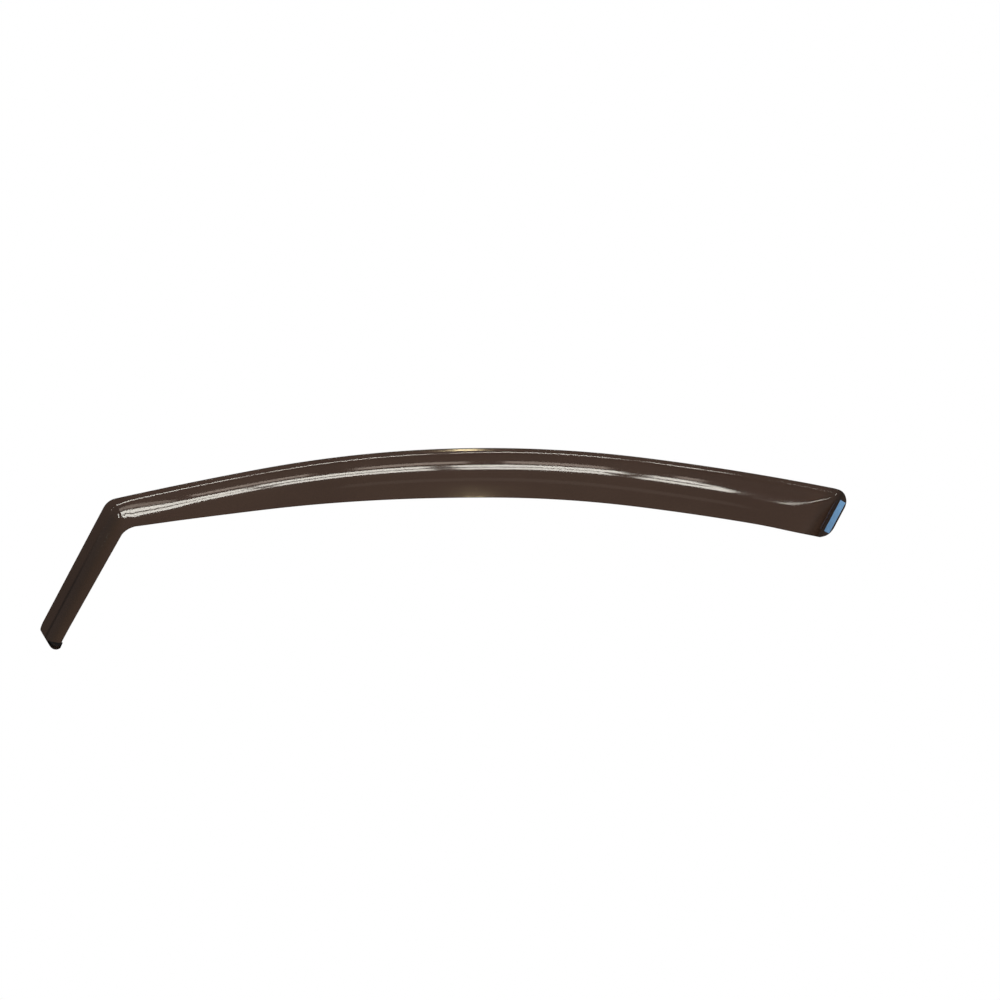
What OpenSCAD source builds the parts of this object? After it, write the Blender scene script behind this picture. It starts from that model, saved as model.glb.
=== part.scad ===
// Window rain deflector for the left-hand front door of a car.
// It is one moulded shell of smoked acrylic. A flange along its outer edge slides into the window
// channel, the visor bulges out from the glass below it, and a narrow leg runs down the front pillar.
// Both ends close back to the glass. The rear flange carries a strip of foam tape under its liner.
// Frame: +X to the rear of the car, -Y away from the car, +Z up. The origin is on the outer face of
// the flange, at the highest point of its edge.

/* [Outer edge] */
// Radius of the arched edge on both sides of its highest point
crown_r = 1400; // [1200:10:2000]
// Length of that radius towards the rear
crown_rear_len = 170; // [120:5:200]
// Radius of the flatter run that ends at the rear corner
rear_r = 3000; // [2000:50:6000]
// Length of the rear run
rear_run_len = 242; // [180:1:280]
// Length of the crown radius towards the front
crown_front_len = 259; // [200:1:280]
// Radius of the flatter run that ends at the front corner
front_r = 5100; // [3000:100:9000]
// Length of the front run
front_run_len = 163; // [120:1:200]
// Radius of the edge round the front corner
corner_r = 20; // [12:1:30]
// Slope of the pillar leg below the horizontal, in degrees
leg_slope = 61.9; // [52:0.1:66]
// Length of the leg's edge below the corner
leg_len = 154; // [110:1:190]

/* [Widths] */
// Height of the visor from its outer edge to its free edge
visor_h = 55.4; // [48:0.1:62]
// Width of the shell where the visor meets the leg
corner_h = 33.5; // [31:0.1:38]
// Width of the leg at its foot
foot_h = 29.2; // [27:0.1:31]
// Radius of the free edge round the inside of the front corner
inside_corner_r = 31; // [15:1:35]
// How much deeper the visor gets towards its rear corner
rear_drop = 2; // [0:0.1:3]
// Length of outer edge over which the section swings round the corner
corner_swing = 60; // [50:1:80]

/* [Section] */
// Thickness of the acrylic
wall = 3; // [2:0.1:3.5]
// Width of the channel flange along the front half of the arch
flange_front_w = 5.1; // [4:0.1:7]
// Width of the channel flange along the rear half of the arch
flange_back_w = 4.3; // [3.6:0.1:7]
// Length of arch over which it changes from one to the other
flange_change = 120; // [60:10:240]
// Width of the channel flange along the leg
flange_leg_w = 10.8; // [8:0.1:12]
// Width of the flange along the rear edge
flange_rear_w = 11; // [10:0.1:14]
// Width of the curved shoulder below the flange, along the front of the arch
shoulder_w = 30; // [22:0.5:34]
// Width of the shoulder at the rear end, which it grows to along the arch
shoulder_rear_w = 40; // [30:0.5:44]
// Width of the shoulder where the visor meets the leg
shoulder_corner_w = 40; // [30:0.5:44]
// Length of visor over which it spreads out to that width
corner_spread = 70; // [40:5:120]
// Rise of the shoulder away from the glass, along the front of the arch
shoulder_rise = 15; // [10:0.5:17]
// Rise of the shoulder at the rear end
shoulder_rear_rise = 20.4; // [12:0.1:22]
// Rise of the shoulder on the leg
leg_rise = 8; // [5:0.5:10]
// Further rise of the skirt per millimetre of its height
skirt_slope = 0.12; // [0:0.01:0.2]
// Rise over which the flange turns into the shoulder
crease_blend = 1.8; // [0.8:0.1:2.2]
// Rise over which the visor turns into the wall at its rear end
hip_blend = 8; // [1.5:0.1:10]
// Rise over which the leg turns into its nose
nose_blend = 2.5; // [1.5:0.1:4]
// How far the rounded edges stand out between the two faces
edge_round = 0.8; // [0.3:0.1:1.2]

/* [Ends] */
// Lean of the rear edge from the vertical, in degrees
rear_lean = 28; // [18:0.5:32]
// Length of visor over which the section leans over to the rear edge
lean_run = 120; // [80:5:160]
// Radius of the rear corner at the top
rear_top_r = 14; // [10:0.5:15]
// Radius of the rear corner at the bottom
rear_bottom_r = 17; // [8:0.5:18]
// Width of the sloping wall that closes the rear end
rear_wall_w = 53; // [40:1:80]
// Radius of the flange's corner at the foot
foot_corner_r = 6; // [2:0.5:8]
// Radius of the rounded nose that ends the foot
nose_r = 8; // [6:0.1:9]
// How far the nose reaches past the end of the leg's edge
nose_reach = 13; // [10:0.1:15]
// Width of the sloping wall that closes the nose
nose_wall_w = 10; // [8:0.5:13]
// How far the nose stands out past the leg's free edge
nose_flare = 2.6; // [0:0.1:4]
// Length of free edge over which it swells into the nose
nose_neck = 2; // [1:0.1:4]

/* [Glass] */
// Radius of the door glass along the car
glass_long_r = 6000; // [4000:100:12000]
// Radius of the door glass from its top to its bottom
glass_drop_r = 1800; // [1200:50:3000]

/* [Tape] */
// Width of the foam tape
tape_w = 6.4; // [5:0.1:8]
// Length of the foam tape, which is cut shorter where the rear edge has less room
tape_len = 39; // [25:0.5:40]
// Thickness of the foam tape
tape_t = 1; // [0.6:0.1:2]
// Thickness of the liner that covers the tape
liner_t = 0.2; // [0.1:0.05:0.3]
// Strip of bare flange left outside the tape
tape_inset = 2; // [1.4:0.1:2.6]

/* [Hidden] */

// Outer edge, walked from its highest point to the rear and to the front: length, radius.
// A radius of 0 is a straight run.
rear_path = [[crown_rear_len, crown_r], [rear_run_len, rear_r]];
crown_turn = turn_of(crown_front_len, crown_r);
arch_slope = crown_turn + turn_of(front_run_len, front_r);
corner_len = (leg_slope - arch_slope) * PI / 180 * corner_r;
front_path = [[crown_front_len, crown_r], [front_run_len, front_r], [corner_len, corner_r], [leg_len, 0]];
rear_len = crown_rear_len + rear_run_len;
arch_len = crown_front_len + front_run_len;
corner_mid = arch_len + corner_len / 2;
front_len = arch_len + corner_len + leg_len;

// The section swings round the corner between these two distances.
arch_end = corner_mid - corner_swing / 2;
leg_start = corner_mid + corner_swing / 2;

// Rear edge: its two ends, its directions and the angle between it and the outer edge.
rear_corner = walk(rear_path, rear_len);
rear_down = [-sin(rear_lean), -cos(rear_lean)];
rear_inward = [-cos(rear_lean), sin(rear_lean)];
lean_past_square = rear_lean - rear_corner[2];
rear_beta = 90 - lean_past_square;
rear_edge_len = visor_h / cos(lean_past_square) + rear_drop;
corner_clear = 2;
rear_square_run = rear_top_r * (1 + cos(rear_beta)) / sin(rear_beta) + corner_clear;

// The walls that close the ends level out just above the visor and the leg. Past their full width
// they no longer bound the shell.
rear_wall_rise = shoulder_rear_rise + skirt_slope * (visor_h - flange_back_w) + hip_blend;
nose_wall_rise = leg_rise + skirt_slope * (foot_h - flange_leg_w) + nose_blend;
unbounded = 1000;

// Rows across the shell: how many follow the shoulder and the skirt, how much closer they lie at the
// crease, and the distance of the rows on both sides of a crease from it.
face_rows = 15;
row_crowding = 1.15;
crease_half = 0.9;

function turn_of(length, radius) = length / radius * 180 / PI;
function clamp01(t) = max(0, min(1, t));
function blend(from, to, t) = from + (to - from) * t;
function ease(t) = let (c = clamp01(t)) c * c * (3 - 2 * c);
function smooth_min(a, b, k) = min(a, b) - pow(max(k - abs(a - b), 0), 2) / (4 * k);
function smooth_max(a, b, k) = max(a, b) + pow(max(k - abs(a - b), 0), 2) / (4 * k);
function unit(v) = v / norm(v);

// Position and heading after a walk along a path: x, z and degrees below the horizontal.
function step(pose, length, radius) = radius == 0
    ? [pose[0] + length * cos(pose[2]), pose[1] - length * sin(pose[2]), pose[2]]
    : let (a = pose[2], b = a + turn_of(length, radius))
        [pose[0] + radius * (sin(b) - sin(a)), pose[1] - radius * (cos(a) - cos(b)), b];
function walk(path, s, i = 0, pose = [0, 0, 0]) = i == len(path)
    ? pose
    : let (part = min(s, path[i][0])) walk(path, s - part, i + 1, step(pose, part, path[i][1]));

// The same for a signed distance: s > 0 is towards the rear and s < 0 towards the front.
// The third value is the square direction across the shell, in degrees from straight down to +X.
function outer(s) = s >= 0
    ? let (p = walk(rear_path, s)) [p[0], p[1], -p[2]]
    : let (p = walk(front_path, -s)) [-p[0], p[1], p[2]];

// How far round the front corner a station is: 0 on the arch, 1 on the leg.
function corner_part(s) = clamp01((-s - corner_mid) / corner_swing + 0.5);
function leaning(s) = ease((s - rear_len + lean_run + rear_square_run) / lean_run);

// Direction across the shell at a station, in degrees from straight down to +X.
function across(s) = let (c = corner_part(s))
    c > 0 ? arch_slope + (leg_slope - arch_slope) * c : outer(s)[2] - lean_past_square * leaning(s);

// Width of the shell square to its outer edge. From the front corner it grows to the visor's height,
// where it levels out.
function width_at(s) = s >= 0
    ? visor_h
    : -s <= corner_mid
    ? let (t = 1 + s / corner_mid) blend(corner_h, visor_h, (3 * t - pow(t, 3)) / 2)
    : blend(corner_h, foot_h, (-s - corner_mid) / (front_len - corner_mid));

// The free edges of the visor and of the leg, each run on as a straight line round the front corner:
// a point on the line and its direction.
function free_point(s) = let (edge = outer(s), dir = across(s))
    [edge[0] + width_at(s) * sin(dir), edge[1] - width_at(s) * cos(dir)];
function free_line(s, ahead) = [free_point(s), unit(free_point(s + ahead) - free_point(s))];
visor_line = free_line(-arch_end, 1);
leg_line = free_line(-leg_start, -1);

// Distance to such a line from a point of the outer edge, along an across direction.
function distance_to(line, edge, dir) =
    cross(line[0] - [edge[0], edge[1]], line[1]) / cross([sin(dir), -cos(dir)], line[1]);

// The blend that rounds the inside of the corner as deeply as an arc of its radius would.
corner_blend = 4 * inside_corner_r * (1 / cos((leg_slope - arch_slope) / 2) - 1);

// Width along the across direction, which is longer where that direction isn't square.
function span_at(s) = -s > arch_end && -s < leg_start
    ? let (edge = outer(s), dir = across(s))
        smooth_max(distance_to(visor_line, edge, dir), distance_to(leg_line, edge, dir), corner_blend)
    : width_at(s) / cos(s > 0 ? lean_past_square * leaning(s) : 0) + rear_drop * pow(leaning(s), 3);

// The section changes ever faster from the front corner to the rear end, and quickly into the leg.
function growth(s) = let (t = clamp01((s + arch_len) / (arch_len + rear_len))) t * t;
function spreading(s) = ease((-s - arch_end) / corner_spread + 1);
function flange_at(s) = let (arch = blend(flange_back_w, flange_front_w, ease(0.5 - s / flange_change)))
    blend(arch, flange_leg_w, ease(corner_part(s)));
function shoulder_at(s) = let (arch = blend(shoulder_w, shoulder_rear_w, growth(s)))
    blend(blend(arch, shoulder_corner_w, spreading(s)), foot_h - flange_leg_w, ease(corner_part(s)));
function rise_at(s) = let (arch = blend(shoulder_rise, shoulder_rear_rise, growth(s)))
    blend(arch, leg_rise, ease(corner_part(s)));

// Rise of a wall that starts at its flange and levels out at its full width.
function wall_rise(d, width, rise) = let (u = min(d / width, 1)) rise * (1 - pow(1 - u, 2));
function end_rise(d, width, rise) = d < width ? wall_rise(d, width, rise) : unbounded;

// Trim of a column that stands q from the rear edge, where a corner of radius r is rounded off.
function trim(q, r, beta) = q >= r * (1 + cos(beta))
    ? 0
    : r / tan(beta / 2) - sqrt(r * r - pow(r - q, 2)) - q / tan(beta);

// Distances across the shell at which its faces have points, between a start and an end.
function row_stops(start, flange, end) = concat(
    [start, (start + flange - crease_half) / 2, flange - crease_half, flange],
    [for (j = [0 : face_rows]) let (t = (1 - cos(180 * pow(j / face_rows, row_crowding))) / 2)
        flange + crease_half + (end - flange - crease_half) * t]);

// The rear columns keep the row layout of the flange's inner side out to the rear edge.
function rows_at(s) = let (
    q = (rear_len - s) * sin(rear_beta),
    q_in = max(q, flange_rear_w),
    span = span_at(s),
    a = edge_round + trim(q, rear_top_r, rear_beta),
    b = span - edge_round - trim(q, rear_bottom_r, 180 - rear_beta),
    a_in = edge_round + trim(q_in, rear_top_r, rear_beta),
    b_in = span - edge_round - trim(q_in, rear_bottom_r, 180 - rear_beta))
    [for (d = row_stops(a_in, flange_at(s), b_in)) a + (d - a_in) * (b - a) / (b_in - a_in)];

// Outline of the foot, as a length past the end of the leg's edge, at a distance w from that edge:
// a straight cut that starts in a rounded corner and runs on as a tangent into the nose's arc.
nose_mid = [foot_h + nose_flare - nose_r, nose_reach - nose_r];
foot_cut = atan(nose_mid[1] / nose_mid[0]) + asin(nose_r / norm(nose_mid));
foot_corner_len = foot_corner_r / tan((90 + foot_cut) / 2);
function foot_reach(w) = w < nose_mid[0] - nose_r * sin(foot_cut)
    ? w * tan(foot_cut) - trim(w, foot_corner_r, 90 + foot_cut)
    : nose_mid[1] + sqrt(max(0, nose_r * nose_r - pow(w - nose_mid[0], 2)));

// The glass surface, the shell's height over it and a point of the shell's outer face.
function glass_y(x, z) = x * x / (2 * glass_long_r) + z * z / (2 * glass_drop_r);
function height(x, z, s, d_edge, d_foot) = let (
    past_flange = d_edge - flange_at(s),
    top = wall_rise(past_flange, shoulder_at(s), rise_at(s)) + skirt_slope * past_flange,
    to_rear = (x - rear_corner[0]) * rear_inward[0] + (z - rear_corner[1]) * rear_inward[1],
    rear = end_rise(to_rear - flange_rear_w, rear_wall_w, rear_wall_rise),
    nose = end_rise(d_foot, nose_wall_w, nose_wall_rise))
    smooth_max(0, smooth_min(smooth_min(top, rear, hip_blend), nose, nose_blend), crease_blend);

// Points of one column: s is its station, and foot_t runs from 0 to 1 over the foot's last stretch.
foot_stretch = 12;
function column(s, foot_t = 0) = let (
    edge = outer(s), dir = across(s), rows = rows_at(s), span = span_at(s),
    square = edge[2] - dir,
    flare = nose_flare * ease((foot_t * (foot_stretch + nose_mid[1]) - foot_stretch) / nose_neck + 1),
    into_corner = max(0, foot_corner_len - (1 - foot_t) * foot_stretch),
    cut_back = foot_corner_r - sqrt(pow(foot_corner_r, 2) - pow(into_corner, 2)),
    along = [-cos(leg_slope), -sin(leg_slope)])
    [for (d = rows) let (
        w = d * (1 + flare / span) + cut_back * max(0, 1 - d / flange_leg_w),
        reach = foot_reach(w),
        out = foot_t * (foot_stretch + reach),
        x = edge[0] + w * sin(dir) + out * along[0],
        z = edge[1] - w * cos(dir) + out * along[1],
        left = foot_t > 0 ? (1 - foot_t) * (foot_stretch + reach)
            : max(0, front_len + s + reach))
        [x, glass_y(x, z) - height(x, z, s, w * cos(square), left), z]];

// Stations from the rear edge to the foot: columns on the rear flange, over the leaning stretch, along
// the arch, round the corner, down the leg and over the foot. They crowd towards the rear edge.
rear_columns = 7;
lean_columns = 14;
arch_columns = 32;
corner_columns = 24;
leg_columns = 12;
foot_columns = 12;
rear_crowding = 1.5;
lean_crowding = 1.4;
rear_zone = flange_rear_w / sin(rear_beta);
lean_zone = lean_run + rear_square_run;
foot_start = front_len - foot_stretch;
stations = concat(
    [for (i = [0 : rear_columns - 1]) rear_len - rear_zone * pow(i / rear_columns, rear_crowding)],
    [for (k = [-crease_half, 0, crease_half]) rear_len - rear_zone - k],
    [for (i = [1 : lean_columns]) rear_len - rear_zone - crease_half
        - (lean_zone - rear_zone) * pow(i / lean_columns, lean_crowding)],
    [for (i = [1 : arch_columns]) let (from = rear_len - lean_zone - crease_half)
        from - (from + arch_end) * i / arch_columns],
    [for (i = [1 : corner_columns]) -arch_end - corner_swing * i / corner_columns],
    [for (i = [1 : leg_columns]) -leg_start - (foot_start - leg_start) * i / leg_columns]);
outer_grid = concat(
    [for (s = stations) column(s)],
    [for (i = [1 : foot_columns]) column(-foot_start, sin(90 * i / foot_columns))]);
columns = len(outer_grid);
rows = len(outer_grid[0]);

// Outward normal at a grid point, from its neighbours.
function normal(i, j) = unit(cross(
    outer_grid[min(i + 1, columns - 1)][j] - outer_grid[max(i - 1, 0)][j],
    outer_grid[i][min(j + 1, rows - 1)] - outer_grid[i][max(j - 1, 0)]));
function inner(i, j) = outer_grid[i][j] - wall * normal(i, j);
function rounded(i, j, back) = (outer_grid[i][j] + inner(i, j)) / 2
    + edge_round * unit(outer_grid[i][j] - outer_grid[i][back]);

// A column's closed ring: outer face, free edge, inner face, flange edge.
function ring(i) = concat(
    outer_grid[i],
    [rounded(i, rows - 1, rows - 2)],
    [for (j = [rows - 1 : -1 : 0]) inner(i, j)],
    [rounded(i, 0, 1)]);

module deflector_shield() {
    n = 2 * rows + 2;
    rings = [for (i = [0 : columns - 1]) ring(i)];
    skin = [for (i = [0 : columns - 2], k = [0 : n - 1])
        let (a = i * n + k, b = i * n + (k + 1) % n, c = b + n, d = a + n)
        each [[a, b, c], [a, c, d]]];
    cap = concat(
        [for (j = [0 : rows - 2]) let (p = j, q = j + 1, r = n - 2 - q, t = n - 2 - p)
            each [[p, r, q], [p, t, r]]],
        [[rows - 1, rows + 1, rows], [0, n - 1, n - 2]]);
    far_cap = [for (f = cap) [for (k = [2, 1, 0]) f[k] + (columns - 1) * n]];
    color([0.26, 0.2, 0.17, 0.85])
    polyhedron([for (r = rings) each r], concat(skin, cap, far_cap), convexity = 8);
}

// The tape ends where the lower rear corner is rounded off, and starts below the upper one.
tape_top = edge_round + trim(tape_inset, rear_top_r, rear_beta);
tape_end = rear_edge_len - edge_round - trim(tape_inset, rear_bottom_r, 180 - rear_beta);
tape_run = min(tape_len, tape_end - tape_top);

// Frame of the tape: its middle on the flange's outer face, and the slope of the glass there.
tape_mid = let (down = tape_end - tape_run / 2, in = tape_inset + tape_w / 2)
    [for (k = [0, 1]) rear_corner[k] + rear_down[k] * down + rear_inward[k] * in];
tape_slope = [tape_mid[0] / glass_long_r, tape_mid[1] / glass_drop_r];
tape_normal = unit([tape_slope[0], -1, tape_slope[1]]);

module on_rear_flange() {
    translate([tape_mid[0], glass_y(tape_mid[0], tape_mid[1]), tape_mid[1]])
    rotate([-asin(tape_normal[2]), 0, atan(tape_slope[0])])
    rotate([0, rear_lean, 0])
        children();
}

module foam_tape() {
    color([0.08, 0.08, 0.09])
    on_rear_flange() translate([-tape_w / 2, -tape_t, -tape_run / 2])
        cube([tape_w, tape_t, tape_run]);
}

module release_liner() {
    color([0.3, 0.52, 0.76])
    on_rear_flange() translate([-tape_w / 2, -tape_t - liner_t, -tape_run / 2])
        cube([tape_w, liner_t, tape_run]);
}

deflector_shield();
foam_tape();
release_liner();
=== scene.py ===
# %% [markdown]
# # A window rain deflector in smoked acrylic
# The part is a slim visor that slides into the channel round a car's front door window. This notebook
# dresses the imported CAD model: it turns the shell into one smooth moulding, gives the three pieces their
# finishes, and lights them as in a small studio. Every length is in metres, in the CAD model's own frame:
# +X is the rear of the car, -Y is away from the car, and +Z is up.
#
# The CAD model comes in first, as a fixed frame that nothing below moves or changes.

import math

import bpy
from mathutils import Matrix, Vector


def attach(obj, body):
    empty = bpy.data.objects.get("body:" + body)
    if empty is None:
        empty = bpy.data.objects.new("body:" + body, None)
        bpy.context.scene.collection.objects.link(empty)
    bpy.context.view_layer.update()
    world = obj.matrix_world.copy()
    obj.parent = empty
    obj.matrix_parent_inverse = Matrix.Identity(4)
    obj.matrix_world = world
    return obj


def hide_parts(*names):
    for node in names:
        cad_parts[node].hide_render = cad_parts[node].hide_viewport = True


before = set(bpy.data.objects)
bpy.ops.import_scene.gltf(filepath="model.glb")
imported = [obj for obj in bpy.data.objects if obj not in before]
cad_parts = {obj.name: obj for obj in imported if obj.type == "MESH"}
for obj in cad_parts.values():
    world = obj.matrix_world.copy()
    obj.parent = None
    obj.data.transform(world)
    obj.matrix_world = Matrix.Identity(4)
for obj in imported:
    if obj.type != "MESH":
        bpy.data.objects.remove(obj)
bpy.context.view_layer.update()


# %% [markdown]
# ## Working on one object at a time
# Blender's operators act on whatever is selected, and a loaded model leaves everything selected. So each
# step starts by selecting one object alone. A copy of a CAD node gets its own mesh, because the node's own
# mesh is never changed.


# %% Helpers for selecting, copying and finishing a piece
MERGE_DISTANCE = 1e-6


def take(piece):
    """Makes one object the only selected and the active one."""
    bpy.ops.object.select_all(action="DESELECT")
    piece.hide_set(False)
    piece.select_set(True)
    bpy.context.view_layer.objects.active = piece


def copy_of(node, name):
    """A copy of a CAD node with its loose triangles merged into one skin."""
    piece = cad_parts[node].copy()
    piece.data = piece.data.copy()
    piece.name = piece.data.name = name
    for key in list(piece.keys()):
        del piece[key]
    piece.parent = None
    piece.data.materials.clear()
    bpy.context.scene.collection.objects.link(piece)
    take(piece)
    bpy.ops.object.mode_set(mode="EDIT")
    bpy.ops.mesh.select_all(action="SELECT")
    bpy.ops.mesh.remove_doubles(threshold=MERGE_DISTANCE)
    bpy.ops.object.mode_set(mode="OBJECT")
    return piece


def apply_modifier(piece, kind, **settings):
    """Adds a modifier with these settings and applies it."""
    take(piece)
    modifier = piece.modifiers.new(kind.title(), kind)
    for key, value in settings.items():
        setattr(modifier, key, value)
    bpy.ops.object.modifier_apply(modifier=modifier.name)


def place(piece, node):
    """The piece stands for a CAD node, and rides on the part's one body."""
    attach(piece, "root")
    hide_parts(node)


# %% [markdown]
# ## The moulded shell
# The real shell is one sheet of acrylic, formed in one piece, so its face has no corners: its lights run
# along it in unbroken lines. The CAD solid has the right shape in small flat facets. Modelling the face
# again would risk its outline, so a copy of the solid is used instead. The copy is merged, its triangles
# are joined back into four-sided faces, and a subdivision surface rounds them. A narrow bevel on the sharp
# rims first holds the outline where the CAD model has it.

# %% Smooth the shell
LARGEST_FOLD = math.radians(50)
LARGEST_SKEW = math.radians(60)
RIM_ANGLE = math.radians(50)
RIM_WIDTH = 0.0004
ROUNDING_LEVELS = 2

shell = copy_of("deflector_shield", "smoked_shell")
bpy.ops.object.mode_set(mode="EDIT")
bpy.ops.mesh.select_all(action="SELECT")
bpy.ops.mesh.tris_convert_to_quads(face_threshold=LARGEST_FOLD, shape_threshold=LARGEST_SKEW)
bpy.ops.object.mode_set(mode="OBJECT")
apply_modifier(shell, "BEVEL", width=RIM_WIDTH, segments=1, limit_method="ANGLE", angle_limit=RIM_ANGLE)
apply_modifier(shell, "SUBSURF", levels=ROUNDING_LEVELS, render_levels=ROUNDING_LEVELS)
take(shell)
bpy.ops.object.shade_smooth()
place(shell, "deflector_shield")
print("shell", len(shell.data.polygons), "faces")

# %% [markdown]
# ## The foam tape and its liner
# A strip of foam tape sits on the flange at the rear end, and its blue liner is still on. Both were cut
# from a roll with a blade, so their edges are square, with only a trace of rounding: a narrow bevel.

# %% Round the edges of the tape and the liner
TAPE_EDGE = 0.00018
LINER_EDGE = 0.00006

tape = copy_of("foam_tape", "foam_strip")
apply_modifier(tape, "BEVEL", width=TAPE_EDGE, segments=3, limit_method="ANGLE")
place(tape, "foam_tape")
liner = copy_of("release_liner", "liner_film")
apply_modifier(liner, "BEVEL", width=LINER_EDGE, segments=2, limit_method="ANGLE")
place(liner, "release_liner")
print("tape and liner", len(tape.data.polygons), len(liner.data.polygons), "faces")


# %% [markdown]
# ## Writing shader maths as Python
# A material is a graph of nodes. Typing each Math node out hides the idea behind it, so a small class
# wraps a socket and turns +, - and * into Math nodes, also when the number comes first, as in 1 - mask.
# Every other node comes from one method.


# %% Sockets that can be added and multiplied
class Value:
    """A number or colour that changes over a surface."""

    def __init__(self, finish, socket):
        self.finish = finish
        self.socket = socket

    def maths(self, operation, *values):
        """A Math node on these values."""
        settings = {"operation": operation}
        return self.finish.node("ShaderNodeMath", settings, dict(enumerate(values)))

    def __add__(self, other):
        return self.maths("ADD", self, other)

    def __radd__(self, other):
        return self.maths("ADD", other, self)

    def __sub__(self, other):
        return self.maths("SUBTRACT", self, other)

    def __rsub__(self, other):
        return self.maths("SUBTRACT", other, self)

    def __mul__(self, other):
        return self.maths("MULTIPLY", self, other)

    def __rmul__(self, other):
        return self.maths("MULTIPLY", other, self)


class Finish:
    """The nodes of a material or of the world."""

    def __init__(self, owner):
        self.owner = owner
        owner.use_nodes = True
        self.tree = owner.node_tree
        self.tree.nodes.clear()

    def node(self, kind, settings=None, inputs=None, output=0):
        """Adds a node, makes its settings, and fills its sockets with numbers, colours or links."""
        made = self.tree.nodes.new(kind)
        for key, value in (settings or {}).items():
            if key == "stops":
                self.fill_ramp(made.color_ramp, value)
            else:
                setattr(made, key, value)
        for key, value in (inputs or {}).items():
            if isinstance(value, Value):
                self.tree.links.new(value.socket, made.inputs[key])
            else:
                made.inputs[key].default_value = value
        return Value(self, made.outputs[output]) if made.outputs else None

    def fill_ramp(self, ramp, stops):
        """A ramp starts with two stops, at 0 and 1. The others are added."""
        ramp.elements[1].position = stops[-1][0]
        for along, _ in stops[1:-1]:
            ramp.elements.new(along)
        for element, (_, colour) in zip(ramp.elements, stops):
            element.color = (*colour, 1)

    def place_on(self, *pieces):
        """Gives the pieces this material."""
        for piece in pieces:
            piece.data.materials.append(self.owner)

    def position(self):
        """The point of the surface, in the object's own frame."""
        return self.node("ShaderNodeTexCoord", output="Object")

    def past_line(self, corner, angle):
        """Distance past a line through a corner, in metres. The angle is that of its square direction."""
        x = self.node("ShaderNodeSeparateXYZ", None, {0: self.position()}, output="X")
        z = self.node("ShaderNodeSeparateXYZ", None, {0: self.position()}, output="Z")
        square = (math.cos(math.radians(angle)), math.sin(math.radians(angle)))
        return (x - corner[0]) * square[0] + (z - corner[1]) * square[1]

    def shade(self, colour, distance, stops, amount=1.0):
        """Darkens a colour by a ramp over a distance. Its stops are in millimetres, with a tone each."""
        reach = stops[-1][0]
        tones = [tone if isinstance(tone, tuple) else (tone,) * 3 for _, tone in stops]
        places = [(mm / reach, tone) for (mm, _), tone in zip(stops, tones)]
        ramp = self.node("ShaderNodeValToRGB", {"stops": places}, {0: distance * (1000 / reach)})
        settings = {"data_type": "RGBA", "blend_type": "MULTIPLY"}
        return self.node("ShaderNodeMix", settings, {0: amount, 6: colour, 7: ramp}, output=2)

    def noise(self, scale, detail, stretch=(1, 1, 1)):
        """Soft random variation between 0 and 1; scale is in features per metre."""
        spread = self.node("ShaderNodeMapping", None, {"Vector": self.position(), "Scale": stretch})
        inputs = {"Vector": spread, "Scale": scale, "Detail": detail}
        return self.node("ShaderNodeTexNoise", None, inputs)

    def remap(self, value, low, high, to_low, to_high):
        """Stretches the range low to high over another, and stops at its ends."""
        inputs = {"Value": value, 1: low, 2: high, 3: to_low, 4: to_high}
        return self.node("ShaderNodeMapRange", {"clamp": True}, inputs)

    def blend(self, factor, first, second):
        """A mix of two colours."""
        return self.node("ShaderNodeMix", {"data_type": "RGBA"}, {0: factor, 6: first, 7: second}, output=2)

    def bump(self, height, distance, strength=1.0):
        """Small hills and hollows, in the light only. The distance is their height, in metres."""
        inputs = {"Height": height, "Distance": distance, "Strength": strength}
        return self.node("ShaderNodeBump", None, inputs)

    def surface(self, **sockets):
        """Ends the material in one Principled shader. Underscores in a socket's name stand for spaces."""
        names = {key.replace("_", " "): value for key, value in sockets.items()}
        shader = self.node("ShaderNodeBsdfPrincipled", None, names)
        self.node("ShaderNodeOutputMaterial", None, {"Surface": shader})


# %% [markdown]
# ## Smoked acrylic: the dye
# The sheet is clear plastic with a brown-grey dye. Light is tinted once on its way in and once on its way
# out, so each face has the square root of the tint that shows. The dye could be one flat colour, but a
# formed sheet varies a little in thickness, so two close tones are blended in soft patches.

# %% The colour of the sheet
DEEP_DYE = (0.0435, 0.0235, 0.015, 1)
PALE_DYE = (0.0515, 0.029, 0.0188, 1)
PATCH_SCALE = 9.0

acrylic = Finish(bpy.data.materials.new("smoked_acrylic"))
haze = acrylic.noise(PATCH_SCALE, 4.0)
dye_and_painted_shade = acrylic.blend(acrylic.remap(haze, 0.35, 0.65, 0.0, 1.0), DEEP_DYE, PALE_DYE)
print("dye", DEEP_DYE[:3], "to", PALE_DYE[:3])
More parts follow.
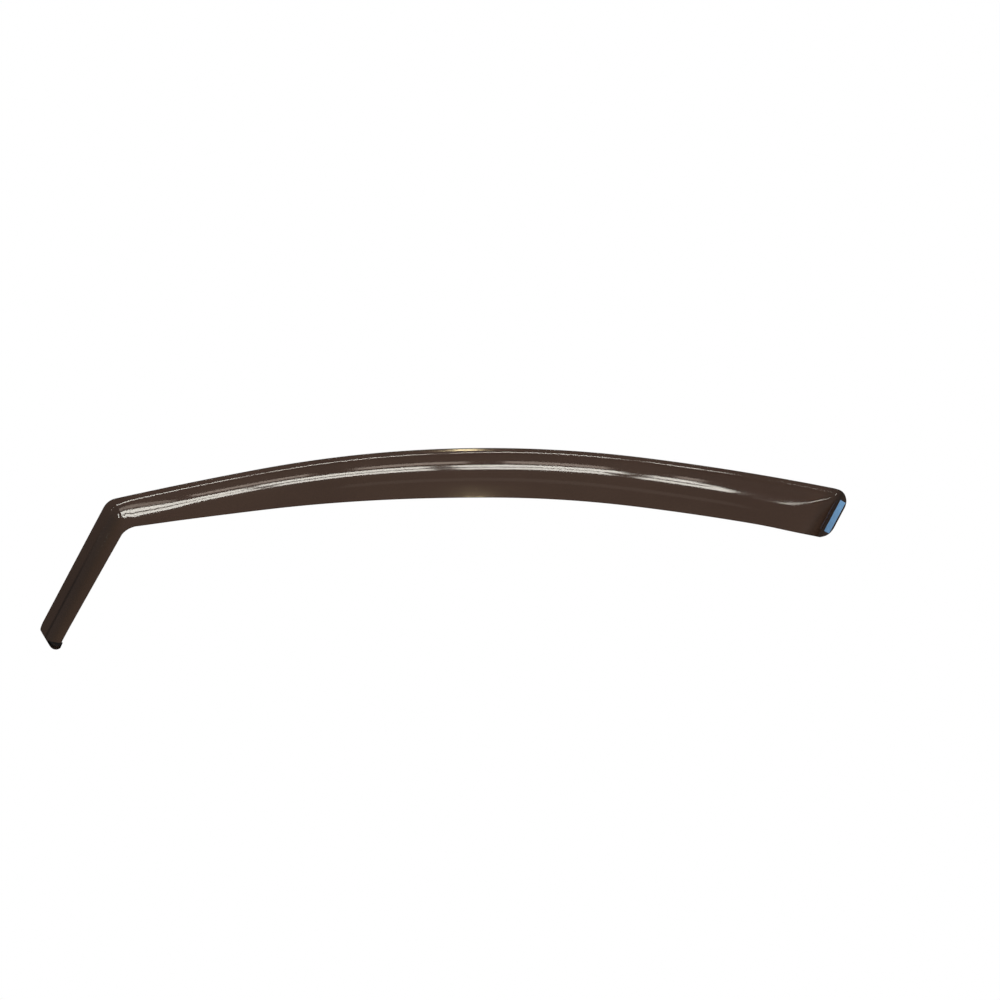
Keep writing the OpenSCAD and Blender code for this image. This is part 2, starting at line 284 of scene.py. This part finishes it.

# %% [markdown]
# ## Smoked acrylic: painted shade
# Shade is painted into the dye's colour where the shell lies in shade: over the whole leg, in the creases
# along its flange and along the rear flange, and in the steep end of the nose. Each of these lies
# along a straight line, so its tone is a ramp over the distance past that line, seen from the front. A
# line is given by a corner (X and Z) and an angle. A tone is a factor on the dye, grey or with a hue.

# %% Painted shade along the leg, the rear flange and the nose
LEG_SLOPE = 61.9
LEG_END = (-0.5031, -0.2024)
# Painted shade over the whole leg, and in the crease along its flange.
LEG_PAINTED_SHADE = [
    (0, 0.7),
    (3, 0.62),
    (9, 0.6),
    (14, 0.5),
    (19, (0.56, 0.56, 0.5)),
    (24, (0.76, 0.74, 0.62)),
    (31, 0.9),
]
LEG_CREASE_PAINTED_SHADE = [(0, 1), (8.6, 1), (10.7, (0.28, 0.22, 0.14)), (12.8, 1), (14, 1)]
LEG_SHADE_FADE = (0.147, 0.185)
CREASE_SHADE_FADE = (0.06, 0.14)
REAR_LEAN = 28.0
REAR_CORNER = (0.4084, -0.0493)
# Painted shade along the rear flange, darkest in its crease.
REAR_PAINTED_SHADE = [(0, 0.6), (7, 0.45), (10, 0.3), (13, (0.5, 0.45, 0.4)), (18, 0.8), (21, 0.75), (30, 1)]
NOSE_CREASE = (-0.4935, -0.2161)
NOSE_ANGLE = -97.2
# Painted shade in the steep end of the nose.
NOSE_PAINTED_SHADE = [(0, 1), (0.6, 0.02), (2.5, 0.08), (5, 0.3), (9, 0.7)]

up_the_leg = acrylic.past_line(LEG_END, LEG_SLOPE)
leg_shade_mask = acrylic.remap(up_the_leg, *LEG_SHADE_FADE, 1.0, 0.0)
crease_shade_mask = acrylic.remap(up_the_leg, *CREASE_SHADE_FADE, 1.0, 0.0)
across_leg = acrylic.past_line(LEG_END, LEG_SLOPE - 90)
across_rear = acrylic.past_line(REAR_CORNER, 180 - REAR_LEAN)
down_the_nose = acrylic.past_line(NOSE_CREASE, NOSE_ANGLE)
# Each tone below is painted shade laid onto the dye: over the leg, in the leg's crease, along the rear
# flange and in the nose.
dye_and_painted_shade = acrylic.shade(dye_and_painted_shade, across_leg, LEG_PAINTED_SHADE, leg_shade_mask)
dye_and_painted_shade = acrylic.shade(dye_and_painted_shade, across_leg, LEG_CREASE_PAINTED_SHADE, crease_shade_mask)
dye_and_painted_shade = acrylic.shade(dye_and_painted_shade, across_rear, REAR_PAINTED_SHADE)
dye_and_painted_shade = acrylic.shade(dye_and_painted_shade, down_the_nose, NOSE_PAINTED_SHADE)
print("dye and tones", len(acrylic.tree.nodes), "nodes")

# %% [markdown]
# ## Smoked acrylic: the gloss
# The polish isn't perfect: it has a faint haze in patches, and the moulding is very slightly wavy, which
# makes the lights along it waver. The waves are a bump of under a tenth of a millimetre and not modelled,
# because they show only in the gloss.

# %% The shell's finish
POLISH = (0.07, 0.085)
WAVE_SCALE = 16.0
WAVE_STRETCH = (1.0, 1.0, 2.5)
WAVE_HEIGHT = 0.00008
ACRYLIC_IOR = 1.49

waves = acrylic.noise(WAVE_SCALE, 1.0, WAVE_STRETCH)
acrylic.surface(
    Base_Color=dye_and_painted_shade,
    Roughness=acrylic.remap(haze, 0.3, 0.7, *POLISH),
    Normal=acrylic.bump(waves, WAVE_HEIGHT),
    IOR=ACRYLIC_IOR,
    Transmission_Weight=1.0,
)
acrylic.place_on(shell)
print("acrylic", len(acrylic.tree.nodes), "nodes")

# %% [markdown]
# ## Foam and liner
# Closed-cell foam is matt and dark, with cells a few tenths of a millimetre across that show as a fine
# pitted grain. A cell pattern gives both its tone and its bump, and the pits are painted darker as painted
# shade. The liner is a thin
# siliconed film: an even blue with a soft sheen and a faint waviness from the foam under it.

# %% The finishes of the tape and the liner
CELLS_PER_METRE = 2600.0
CELL_DEPTH = 0.0001
# The pits' near-black is painted shade in the hollows of the cells.
PIT_PAINTED_SHADE = (0.008, 0.008, 0.009, 1)
WALL_GREY = (0.03, 0.03, 0.032, 1)
FILM_BLUE = (0.125, 0.285, 0.52, 1)
FILM_PALE_BLUE = (0.16, 0.33, 0.57, 1)
FILM_SHEEN = (0.36, 0.5)
FILM_WAVE_HEIGHT = 0.00005

foam = Finish(bpy.data.materials.new("black_foam"))
grain = {"Vector": foam.position(), "Scale": CELLS_PER_METRE}
cells = foam.node("ShaderNodeTexVoronoi", None, grain, output="Distance")
foam.surface(
    Base_Color=foam.blend(foam.remap(cells, 0.1, 0.6, 0.0, 1.0), PIT_PAINTED_SHADE, WALL_GREY),
    Roughness=0.95,
    Normal=foam.bump(cells, CELL_DEPTH, 0.6),
)
foam.place_on(tape)

film = Finish(bpy.data.materials.new("blue_liner"))
mottle = film.noise(420.0, 3.0)
film.surface(
    Base_Color=film.blend(mottle, FILM_BLUE, FILM_PALE_BLUE),
    Roughness=film.remap(mottle, 0.3, 0.7, *FILM_SHEEN),
    Normal=film.bump(mottle, FILM_WAVE_HEIGHT, 0.5),
)
film.place_on(liner)
print("foam and film", len(foam.tree.nodes), len(film.tree.nodes), "nodes")

# %% [markdown]
# ## The studio
# The photograph shows the deflector face on, on white. What its gloss mirrors is a dim room with lamps in
# it: a white room would show in the gloss as a grey veil over the dark dye. So the world is white where the
# camera looks and where it is seen through the acrylic. In a mirror image it is a dim room in front of the
# part and dark behind it, which keeps the rims dark, and on matt surfaces it falls as soft light. The floor
# shows no mirror image in the rims.


# %% Floor
FLOOR_SIZE = 30
FLOOR_HEIGHT = -0.75
WHITE = (1, 1, 1, 1)
PALE_PAPER = (0.8, 0.8, 0.8, 1)


def seen_directly(finish):
    """1 where the camera sees something straight or through the acrylic, otherwise 0."""
    camera_ray = finish.node("ShaderNodeLightPath", output="Is Camera Ray")
    through = finish.node("ShaderNodeLightPath", output="Is Transmission Ray")
    return camera_ray.maths("MAXIMUM", camera_ray, through)


bpy.ops.mesh.primitive_plane_add(size=FLOOR_SIZE, location=(0, 0, FLOOR_HEIGHT))
floor = bpy.context.object
floor.name = "floor"
floor.visible_glossy = False
paper = Finish(bpy.data.materials.new("floor_paper"))
plain = paper.node("ShaderNodeBsdfDiffuse", None, {"Color": PALE_PAPER})
white = paper.node("ShaderNodeEmission", None, {"Color": WHITE, "Strength": 1.0})
mixed = paper.node("ShaderNodeMixShader", None, {0: seen_directly(paper), 1: plain, 2: white})
paper.node("ShaderNodeOutputMaterial", None, {"Surface": mixed})
paper.place_on(floor)
print("floor at", FLOOR_HEIGHT)

# %% World
ROOM_IN_FRONT = 0.25
ROOM_BEHIND = 0.02
FRONT_TO_BACK = (-0.05, 0.25)
SOFT_LIGHT = 0.56

studio = Finish(bpy.data.worlds.new("studio"))
direction = studio.node("ShaderNodeTexCoord", output="Generated")
towards_back = studio.node("ShaderNodeSeparateXYZ", None, {0: direction}, output="Y")
mirrored = studio.node("ShaderNodeLightPath", output="Is Glossy Ray")
room = studio.remap(towards_back, *FRONT_TO_BACK, ROOM_IN_FRONT, ROOM_BEHIND)
unseen = mirrored * room + (1 - mirrored) * SOFT_LIGHT
seen = seen_directly(studio)
level = seen + (1 - seen) * unseen
sky = studio.node("ShaderNodeBackground", None, {"Color": WHITE, "Strength": level})
studio.node("ShaderNodeOutputWorld", None, {"Surface": sky})
bpy.context.scene.world = studio.owner
print("world", len(studio.tree.nodes), "nodes")

# %% [markdown]
# ## Lamps
# A highlight says where its lamp is. Followed back from the shoulder into the room, the highlights of the
# photograph fall into long flat panels, end to end: two bright rows side by side with a slanted cut at
# their rear end, a dim row above them and a faint strip low down. A panel far out to the front gives the
# small spot in the corner. Past the rear end, a few narrow panels draw the thin line along the hip. A
# yellow one, so low that only the flange mirrors it, is the warm glint there.
#
# The panels lie on a cylinder round the part. An end of a panel is given by its place along the car and
# its height above the horizon in degrees, seen from the part, because those are what a highlight gives.


# %% One panel
LAMP_DISTANCE = 1.5
LAMP_AXIS_HEIGHT = -0.04


def lamp_place(x, tilt):
    """The point in front of the part that lies at x along the car, tilt degrees above the horizon."""
    out = LAMP_DISTANCE * math.cos(math.radians(tilt))
    up = LAMP_DISTANCE * math.sin(math.radians(tilt))
    return Vector((x, -out, LAMP_AXIS_HEIGHT + up))


def panel(name, start, end, spread, brightness, colour):
    """A flat lamp between two places that faces the part and is seen only in its gloss."""
    middle = (start + end) / 2
    along = (end - start).normalized()
    outward = (middle - Vector((middle.x, 0, LAMP_AXIS_HEIGHT))).normalized()
    outward = (outward - along * outward.dot(along)).normalized()
    turned = Matrix((along, outward.cross(along), outward)).transposed()
    bpy.ops.object.light_add(type="AREA", location=middle)
    lamp = bpy.context.object
    lamp.name = name
    lamp.rotation_euler = turned.to_euler()
    lamp.data.shape = "RECTANGLE"
    lamp.data.size = (end - start).length
    lamp.data.size_y = 2 * LAMP_DISTANCE * math.tan(math.radians(spread / 2))
    lamp.data.energy = brightness * math.pi * lamp.data.size * lamp.data.size_y
    lamp.data.color = colour
    lamp.visible_camera = False
    lamp.visible_transmission = False


# %% Rows of panels
TUBE = 15.5
WARM_WHITE = (1.0, 0.98, 0.9)
DUSKY = (1.0, 0.85, 0.74)
YELLOW = (1.0, 0.84, 0.5)
DIM_TILT = 74.5

# Each row has a name, a width in degrees, a brightness, a colour and its panels. A panel has the x and the
# tilt of its one end, and then of its other end.
ROWS = [
    ("front_end", 7.1, TUBE, WARM_WHITE, [(-1.34, 51.5, -1.02, 51.0), (-1.25, 60.8, -1.02, 60.6)]),
    ("front", 6.1, TUBE, WARM_WHITE, [(-1.02, 50.9, -0.65, 57.9), (-1.02, 60.5, -0.68, 64.4)]),
    (
        "lower",
        5.4,
        TUBE,
        WARM_WHITE,
        [(-0.605, 57.5, -0.158, 57.5), (-0.1, 56.9, 0.33, 60.1), (0.407, 59.6, 0.628, 57.9)],
    ),
    (
        "upper",
        5.4,
        TUBE,
        WARM_WHITE,
        [(-0.66, 65.3, -0.172, 64.7), (-0.112, 64.1, 0.38, 67.2), (0.442, 67.0, 0.556, 66.8)],
    ),
    ("rear_cut", 2.0, TUBE, WARM_WHITE, [(0.563, 66.5, 0.616, 60.8)]),
    ("front_dim", 5.5, 3.0, DUSKY, [(-1.22, 70.0, -0.93, 70.0)]),
    (
        "dim",
        5.5,
        4.0,
        DUSKY,
        [
            (-0.84, DIM_TILT, -0.51, DIM_TILT),
            (-0.375, DIM_TILT, -0.075, DIM_TILT),
            (0.03, DIM_TILT, 0.333, DIM_TILT),
            (0.51, DIM_TILT, 0.567, DIM_TILT),
        ],
    ),
    ("faint", 9.0, 0.3, DUSKY, [(-0.35, 21.0, 0.55, 21.0)]),
    ("spot", 6.0, TUBE, WARM_WHITE, [(-3.0, 38.5, -1.9, 57.5)]),
    ("hip", 0.6, TUBE, WARM_WHITE, [(0.722, 50.0, 0.815, 64.0)]),
    ("hip_end", 1.7, TUBE, WARM_WHITE, [(0.825, 64.2, 0.985, 67.6), (0.985, 67.6, 1.8, 58.5)]),
    ("glint", 6.4, 32.0, YELLOW, [(-0.07, 5.6, -0.022, 5.6)]),
]
for row, spread, brightness, colour, panels in ROWS:
    for number, ends in enumerate(panels):
        start, end = lamp_place(*ends[:2]), lamp_place(*ends[2:])
        panel(f"{row}_panel_{number}", start, end, spread, brightness, colour)
print("lamps", sum(len(panels) for *_, panels in ROWS))

# %% [markdown]
# ## Camera
# The photograph is taken square on and shows almost nothing of the part's depth, so the camera stands far
# off and looks straight at it through a long lens. Its distance makes the outline as long as in the
# photograph: one pixel is 1.12 mm on the plane where the outline lies.

# %% Camera
CAMERA_X = 0.0133
CAMERA_HEIGHT = -0.0582
DISTANCE = 9.333
PLANE_OF_OUTLINE = 0.025

bpy.ops.object.camera_add(
    location=(CAMERA_X, PLANE_OF_OUTLINE - DISTANCE, CAMERA_HEIGHT), rotation=(math.radians(90), 0, 0)
)
camera = bpy.context.object
camera.data.lens = 300
camera.data.sensor_width = 36
camera.data.clip_end = 100
bpy.context.scene.camera = camera
bpy.context.scene.view_settings.view_transform = "Standard"
print("camera at", [round(v, 3) for v in camera.location])
